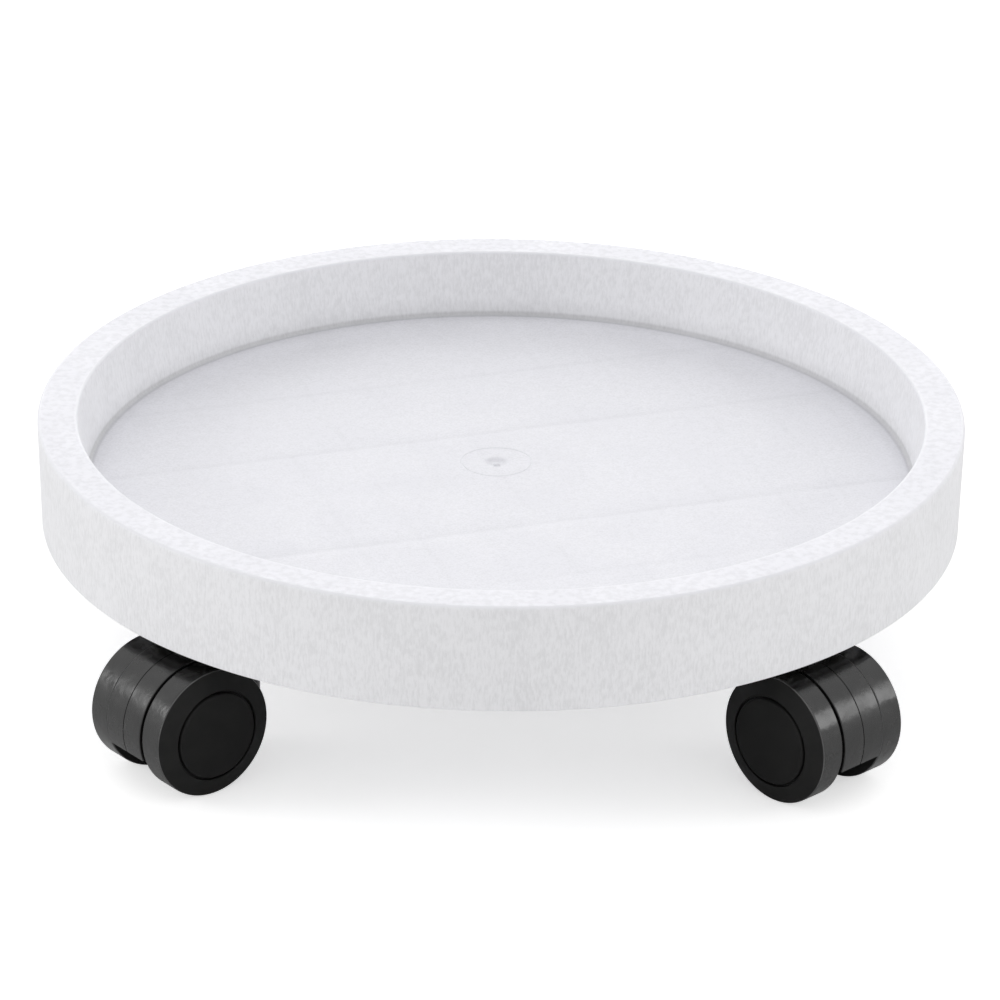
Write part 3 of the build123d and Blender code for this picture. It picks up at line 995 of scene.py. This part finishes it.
    def build(self) -> None:
        """Make the tray's pieces, dress them and set them on their body."""
        finish = FoamedWhite("foamed_white", floor_edge=self.well_floor, floor_level=self.floor_level,
                             rim_level=self.rim_top, rim_inner=self.well_mouth, rim_outer=self.rim_radius,
                             rib_angle=self.rib_angle, cross_pitch=self.cross_pitch)
        for piece in (self.moulding(), self.floor_ribs(), self.rim_gussets(), self.caster_pads()):
            finish.apply(piece)
            self.pieces.append(set_in_frame(piece, UNMOVED, piece.name, "tray_body", "tray_white"))
        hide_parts("tray")


def ease(value: np.ndarray, low: float, high: float) -> np.ndarray:
    """Smooth step from 0 at the low value to 1 at the high one."""
    share = np.clip((value - low) / (high - low), 0, 1)
    return share * share * (3 - 2 * share)


def set_in_frame(pattern: Piece, place: Matrix, name: str, body: str, slot: str, *nodes: str) -> Piece:
    """Copy a modelled piece into the frame.

    Args:
        pattern: The piece as it was modelled, in millimetres.
        place: Where it goes, in millimetres.
        name: The new piece's name.
        body: The body that it rides on.
        slot: The record's slot that its finish belongs to; not used.
        nodes: The solids that it stands for.

    Returns:
        The new piece, in metres.
    """
    pattern.name = "pattern"
    piece = copied(pattern, Matrix.Scale(METRE, 4) @ place, name)
    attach(piece, body)
    if nodes:
        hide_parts(*nodes)
    return piece


@dataclass
class Wheel:
    """One moulded wheel about Z, whose face looks along +Z."""

    radius: float = 25.0
    inner_face: float = 10.95
    outer_face: float = 21.2
    crown_face: float = 24.0
    edge: float = 0.55
    rim_section: float = 3.2
    hub_radius: float = 7.0
    hub_inner_end: float = 10.4
    hub_outer_end: float = 19.5
    bore: float = 3.05
    web: float = 2.0
    cap_seat: float = 22.4
    cap_radius: float = 16.8
    cap_groove: float = 0.9
    skirt_pocket: float = 15.25
    spokes: int = 6
    spoke_thickness: float = 1.6

    def build(self) -> Piece:
        """Turn the wheel, set its spokes and give tread and face their own finish.

        Returns:
            The dressed wheel.
        """
        groove = self.cap_radius + self.cap_groove
        rim_inner = self.radius - self.rim_section
        web_inner = self.hub_outer_end - self.web
        piece = turned("wheel", path(
            (self.bore, self.hub_inner_end, 0.3), (self.hub_radius, self.hub_inner_end, 0.3),
            (self.hub_radius, web_inner, 0.5), (self.skirt_pocket + self.web, web_inner, 0.6),
            (rim_inner, self.outer_face - self.web, 0.6), (rim_inner, self.inner_face, 0.3),
            (self.radius, self.inner_face, self.edge), (self.radius, self.outer_face, self.edge),
            (groove, self.crown_face, 0.35), (groove, self.cap_seat), (self.skirt_pocket, self.cap_seat),
            (self.skirt_pocket, self.hub_outer_end), (self.bore, self.hub_outer_end, 0.3),
        ), 144)
        low = self.inner_face + self.spoke_thickness
        high = web_inner + self.web / 2
        start = (self.bore + self.hub_radius) / 2
        end = rim_inner + self.rim_section / 2
        spoke = bar("spoke", (end - start, self.spoke_thickness, high - low),
                    ((end + start) / 2, 0, (high + low) / 2))
        spokes = joined("spokes", [copied(spoke, about_z(i * 360 / self.spokes)) for i in range(self.spokes)])
        discard(spoke)
        piece = smoothed(combine(piece, spokes, Join.UNION))
        self.dress(piece)
        return piece

    def dress(self, piece: Piece) -> None:
        """Give tread, faces and the edges between them a finish each.

        Args:
            piece: The wheel.
        """
        # The edges between tread and faces get a paler black, a painted highlight.
        TREAD_BLACK.apply(piece, FACE_BLACK, EDGE_BLACK)
        for face in piece.data.polygons:
            reach = math.hypot(face.center.x, face.center.y)
            on_tread = reach > self.radius - self.edge * 0.05
            on_edge = reach > self.radius - self.edge * 0.7
            face.material_index = 0 if on_tread else 2 if on_edge else 1


@dataclass
class Cap:
    """Crowned cap about Z that snaps in a wheel's face."""

    radius: float = 16.8
    seat: float = 22.4
    front: float = 24.35
    crown: float = 0.5
    edge: float = 0.7
    panel: float = 2.1
    skirt_radius: float = 15.2
    skirt_end: float = 20.2
    skirt_wall: float = 1.5
    crown_steps: int = 8

    def build(self) -> Piece:
        """Turn the cap with a crown that falls off as a circle does.

        Returns:
            The dressed cap.
        """
        top = self.front + self.crown
        crown = []
        for i in range(self.crown_steps + 1):
            reach = self.radius * i / self.crown_steps
            soften = self.edge if i == self.crown_steps else 0.0
            crown.append(Corner(reach, top - self.crown * (i / self.crown_steps) ** 2, soften))
        back = top - self.panel
        inner = self.skirt_radius - self.skirt_wall
        piece = turned("cap", crown + path(
            (self.radius, self.seat, 0.2), (self.skirt_radius, self.seat),
            (self.skirt_radius, self.skirt_end, 0.3), (inner, self.skirt_end, 0.3),
            (inner, back), (0, back),
        ), 128, closed=False)
        CAP_BLACK.apply(piece)
        return smoothed(piece)


@dataclass
class Hood:
    """Fender over the wheels on a middle web, with a hollow round turret about the swivel axis."""

    trail: float = 15.5
    axle_height: float = 25.0
    half_width: float = 10.3
    fender_radius: float = 25.6
    fender_wall: float = 2.0
    fender_start: float = -20.5
    fender_end: float = 112.0
    parting: float = 0.35
    turret_radius: float = 17.6
    turret_wall: float = 2.2
    turret_roof: float = 2.8
    turret_top: float = 53.2
    turret_bottom: float = 26.5
    web: float = 3.0
    well_radius: float = 25.9
    pin_boss: float = 7.0
    pin_boss_bottom: float = 33.0
    pin_bore: float = 4.05
    clip_room: float = 7.2
    axle_boss: float = 6.0
    axle_boss_half: float = 10.1
    axle_bore: float = 3.02

    def to_axle(self, side: int = 1) -> Matrix:
        """Move that takes a shape about Z to the axle, with +Z out to one side."""
        centre = Matrix.Translation((self.trail, 0, self.axle_height))
        return centre @ Matrix.Rotation(math.radians(-90 * side), 4, "X")

    def fender(self) -> Piece:
        """Arch a grooved strip over the wheels.

        Returns:
            The fender in its place.
        """
        outer = self.fender_radius
        inner = outer - self.fender_wall
        gap = self.parting / 2
        half, groove = self.half_width, outer - self.parting
        piece = turned("fender", path(
            (outer, -half, 0.35), (outer, -gap, 0.08), (groove, -gap), (groove, gap), (outer, gap, 0.08),
            (outer, half, 0.35), (inner, half, 0.35), (inner, -half, 0.35),
        ), 72, sweep=self.fender_end - self.fender_start)
        piece.data.transform(self.to_axle() @ about_z(-self.fender_start))
        return piece

    def turret(self) -> Piece:
        """Turn the hollow turret with its roof and the boss for the pin.

        Returns:
            The turret in its place.
        """
        roof = self.turret_top - self.turret_roof
        inner = self.turret_radius - self.turret_wall
        return turned("turret", path(
            (0, self.turret_top), (self.turret_radius, self.turret_top, 1.2),
            (self.turret_radius, self.turret_bottom, 0.4), (inner, self.turret_bottom, 0.4),
            (inner, roof, 0.8), (self.pin_boss, roof, 0.8),
            (self.pin_boss, self.pin_boss_bottom, 0.4), (0, self.pin_boss_bottom),
        ), 128, closed=False)

    def middle_web(self) -> Piece:
        """Cut the web that joins fender, turret and bosses.

        Returns:
            The web in its place.
        """
        reach = self.fender_radius - self.fender_wall / 2
        roof = self.turret_top - self.turret_roof / 2 - 1
        back = -(self.turret_radius - self.turret_wall / 2)
        arc = []
        for degrees in range(90, int(self.fender_start) - 1, -10):
            angle = math.radians(max(degrees, self.fender_start))
            arc.append(Corner(self.trail + reach * math.cos(angle), self.axle_height + reach * math.sin(angle)))
        corners = path((back, self.turret_bottom), (back, roof), (self.trail, roof)) + arc
        return slab("web", corners, self.web)

    def build(self) -> Piece:
        """Join the parts of the hood and cut its wheel wells and bores.

        Returns:
            The dressed hood.
        """
        across = self.to_axle()
        half, reach = self.axle_boss_half, 2 * self.half_width
        wells = [rod("well", self.well_radius, self.half_width, reach + self.turret_radius, 144,
                     place=self.to_axle(side)) for side in (1, -1)]
        piece = self.turret()
        for tool, how in (
            (self.middle_web(), Join.UNION), (self.fender(), Join.UNION), *((well, Join.CUT) for well in wells),
            (rod("room", self.clip_room, self.turret_bottom - 1, self.pin_boss_bottom), Join.CUT),
            (rod("boss", self.axle_boss, -half, half, 64, place=across), Join.UNION),
            (rod("bore", self.axle_bore, -reach, reach, 48, place=across), Join.CUT),
            (rod("bore", self.pin_bore, 0, self.turret_top + 1, 48), Join.CUT),
        ):
            piece = combine(piece, tool, how)
        HOOD_BLACK.apply(piece)
        return smoothed(piece)


class Side(Enum):
    """The two sides of a caster, as seen by itself looking the way that it trails."""

    left = 1
    right = -1


@dataclass
class Caster:
    """One twin-wheel caster in its place under the tray."""

    name: str
    pad_azimuth: float
    trail_azimuth: float
    distance: float = 150.5

    @property
    def place(self) -> Matrix:
        """Move from the caster's own axes to the tray's."""
        arm = about_z(self.pad_azimuth) @ Matrix.Translation((self.distance, 0, 0))
        return arm @ about_z(self.trail_azimuth - self.pad_azimuth)

    def build(self, hood: Hood, patterns: "dict[str, Piece]") -> None:
        """Copy the moulded pieces to this caster.

        Args:
            hood: The hood's sizes, which say where the axle is.
            patterns: The modelled hood, wheel and cap.
        """
        rows = [("hood", "hood", "fork", UNMOVED)]
        for side in Side:
            for part in ("wheel", "cap"):
                rows.append((part, f"{side.name}_{part}", f"{side.name}_roller", hood.to_axle(side.value)))
        for part, node, body, place in rows:
            node = f"{self.name}_{node}"
            set_in_frame(patterns[part], self.place @ place, f"{node}_moulding", f"{self.name}_{body}",
                         f"{part}_black", node)

    def dress(self, nodes: "dict[str, Piece]") -> None:
        """Give the caster's small solids their finishes.

        Args:
            nodes: The frame's nodes by name.
        """
        for finish, slot, *parts in (
            (PLATE_STEEL, "plate_steel", "top_plate"), (SCREW_STEEL, "screw_steel", "plate_screws"),
            (PIN_STEEL, "pin_steel", "swivel_pin", "axle"), (WASHER_NYLON, "washer_nylon", "thrust_washer"),
            (CLIP_STEEL, "clip_steel", "pin_clip", "axle_clips"),
        ):
            for part in parts:
                node = nodes[f"{self.name}_{part}"]
                finish.apply(node)


@dataclass(frozen=True)
class Softbox:
    """A far and wide soft light."""

    name: str
    azimuth: float
    elevation: float
    softness: float
    strength: float

    def build(self) -> None:
        """Hang the light; azimuth 0 is on the camera's side and 90 on the right."""
        lamp = bpy.data.lights.new(self.name, "SUN")
        lamp.energy = self.strength
        lamp.angle = math.radians(self.softness)
        light = bpy.data.objects.new(self.name, lamp)
        light.rotation_euler = (math.radians(90 - self.elevation), 0, math.radians(self.azimuth))
        bpy.context.scene.collection.objects.link(light)


@dataclass
class Studio:
    """Pale floor, soft light and camera."""

    ambient: float = 0.72
    floor_colour: float = 0.9
    floor_glow: float = 0.56
    floor_size: float = 24.0
    eye: "tuple[float, float, float]" = (0.0, -2.5024, 1.1830)
    yaw: float = -0.0029
    pitch: float = -24.1426
    roll: float = 0.6771
    lens: float = 256.39
    sensor: float = 36.0
    softboxes: "tuple[Softbox, ...]" = (
        Softbox("back", 180, 22, 50, 0.83),
        Softbox("left", -90, 24, 22, 0.50),
        Softbox("right", 90, 24, 22, 0.34),
    )

    def floor(self) -> None:
        """Lay a wide pale floor that keeps the shadow and can't be seen from below."""
        release()
        bpy.ops.mesh.primitive_plane_add(size=self.floor_size)
        plane = bpy.context.object
        plane.name = "studio_floor"
        with editing(plane):
            bpy.ops.mesh.subdivide(number_cuts=3)
        material = bpy.data.materials.new("studio_floor")
        sketch = Sketch(material)
        diffuse = sketch.add("BsdfDiffuse", {"Color": (self.floor_colour,) * 3 + (1.0,)})
        seen = sketch.add("LightPath").outputs["Is Camera Ray"]
        glow = sketch.add("Emission", {"Color": WHITE, "Strength": sketch.product(seen, self.floor_glow)})
        lit = sketch.add("AddShader", {0: diffuse.outputs[0], 1: glow.outputs[0]})
        below = sketch.product(sketch.add("NewGeometry").outputs["Backfacing"], seen)
        clear = sketch.add("BsdfTransparent")
        both = sketch.add("MixShader", {0: below, 1: lit.outputs[0], 2: clear.outputs[0]})
        sketch.close(both.outputs[0])
        plane.data.materials.append(material)
        plane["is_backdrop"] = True

    def sky(self) -> None:
        """Fill the room with even light, and show white behind the object and in its reflections."""
        world = bpy.data.worlds.new("studio_sky")
        bpy.context.scene.world = world
        sketch = Sketch(world)
        rays = sketch.add("LightPath").outputs
        shown = rays["Is Camera Ray"]
        for ray in ("Is Glossy Ray", "Is Transmission Ray"):
            shown = sketch.math("MAXIMUM", shown, rays[ray])
        level = sketch.add("MapRange", {"Value": shown, "To Min": self.ambient, "To Max": 1.0}).outputs[0]
        background = sketch.add("Background", {"Color": WHITE, "Strength": level})
        sketch.close(background.outputs[0])

    def camera(self) -> None:
        """Stand the camera where the photograph was taken from."""
        turn = about_z(-self.yaw) @ Matrix.Rotation(math.radians(90 + self.pitch), 4, "X") @ about_z(self.roll)
        data = bpy.data.cameras.new("camera")
        data.lens = self.lens
        data.sensor_width = self.sensor
        camera = bpy.data.objects.new("camera", data)
        camera.matrix_world = Matrix.Translation(self.eye) @ turn
        bpy.context.scene.collection.objects.link(camera)
        bpy.context.scene.camera = camera

    def build(self) -> None:
        """Set up the whole studio."""
        self.floor()
        self.sky()
        self.camera()
        for softbox in self.softboxes:
            softbox.build()
        bpy.context.scene.view_settings.view_transform = "Standard"


def main() -> None:
    """Build the caddy's pieces in order."""
    logging.basicConfig(level=logging.INFO, format="%(message)s")
    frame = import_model()
    tray = Tray()
    tray.build()
    LOG.info("tray: %d pieces", len(tray.pieces))
    hood = Hood()
    patterns = {"hood": hood.build(), "wheel": Wheel().build(), "cap": Cap().build()}
    casters = (
        Caster("front_left", -135.0, -141.6),
        Caster("front_right", -45.0, -44.7),
        Caster("rear_right", 45.0, 48.0),
        Caster("rear_left", 135.0, 131.0),
    )
    for caster in casters:
        caster.build(hood, patterns)
        caster.dress(frame["nodes"])
        LOG.info("%s: hood, wheels, caps and small parts", caster.name)
    for pattern in [piece for piece in bpy.data.objects if piece.name.startswith("pattern")]:
        discard(pattern)
    Studio().build()
    release()
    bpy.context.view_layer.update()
    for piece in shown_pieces():
        LOG.info("%s: %d faces", piece.name, len(piece.data.polygons))


if __name__ == "__main__":
    main()
